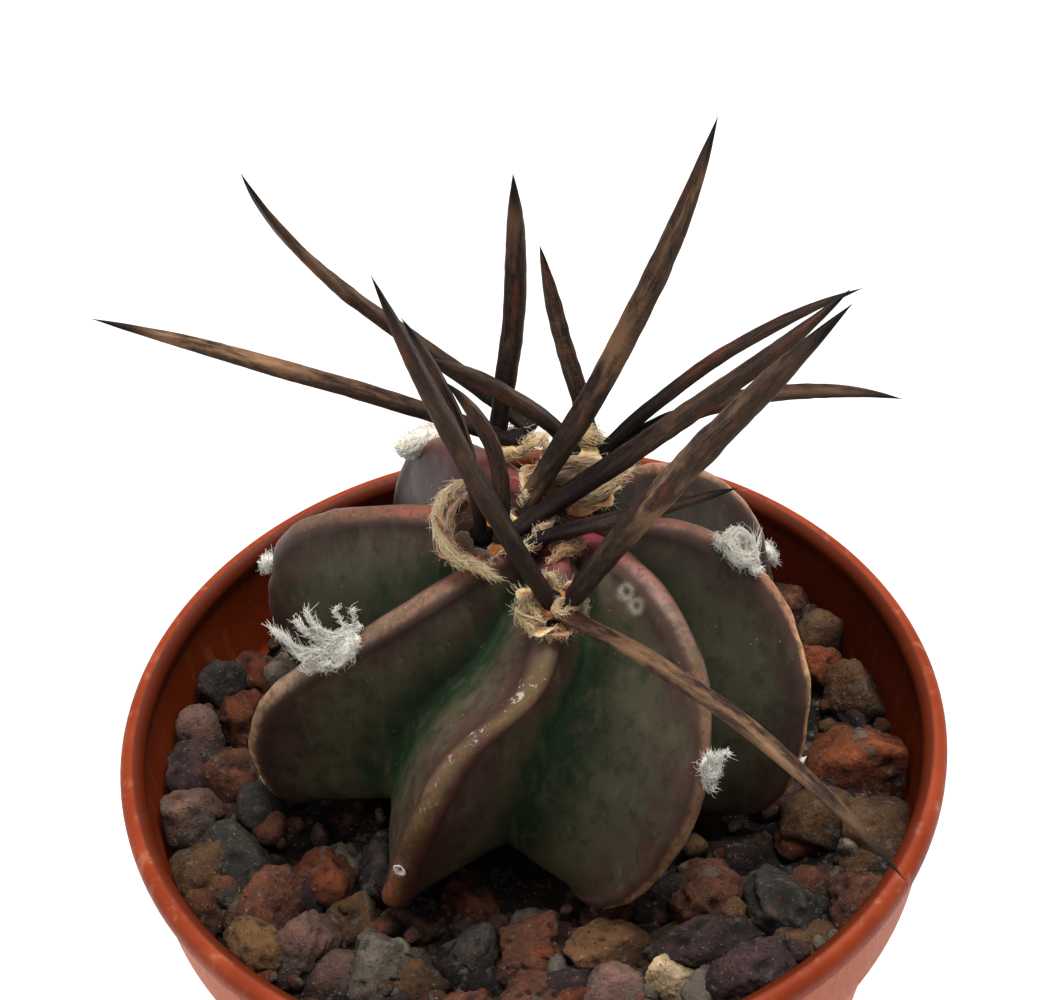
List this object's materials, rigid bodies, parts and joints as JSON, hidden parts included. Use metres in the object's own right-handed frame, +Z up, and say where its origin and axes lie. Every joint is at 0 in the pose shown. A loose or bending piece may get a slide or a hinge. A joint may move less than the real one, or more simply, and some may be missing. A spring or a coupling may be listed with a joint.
{
  "type": "potted goats horn cactus",
  "caption": "Young ribbed cactus with long curved horn-like spines and tufts of wool, planted in coarse lava grit in a small round plastic nursery pot.",
  "frame": {"origin": "centre of the pot's base, on the surface that the pot stands on", "axes": "+Z up along the pot's axis, -Y towards the viewer of the picture, +X to the viewer's right"},
  "size_m": [0.065, 0.065, 0.1038],
  "materials": {
    "pot_plastic": "satin moulded, terracotta orange-brown",
    "lava_grit": "rough porous stone in dark red-brown, grey and tan",
    "skin": "waxy skin, olive-grey turning purple-brown at the rib edges",
    "spine": "dry horn-like, dark brown with grey-brown bands",
    "wool": "matted cream wool with orange-brown scales",
    "old_wool": "loose bleached white wool"
  },
  "bodies": {
    "root": {"pot": "pot_plastic", "gritty_mix": "lava_grit", "cactus_body": "skin", "spines_front": "spine", "spines_left": "spine", "spines_middle": "spine", "spines_back_left": "spine", "spines_back_right": "spine", "wool_front": "wool", "wool_left": "wool", "wool_crown": "wool", "wool_old_left": "old_wool", "wool_old_left_back": "old_wool", "wool_old_back": "old_wool", "wool_old_back_right": "old_wool", "wool_old_right_back": "old_wool", "wool_old_right": "old_wool", "wool_old_front": "old_wool"}
  },
  "joints": []
}
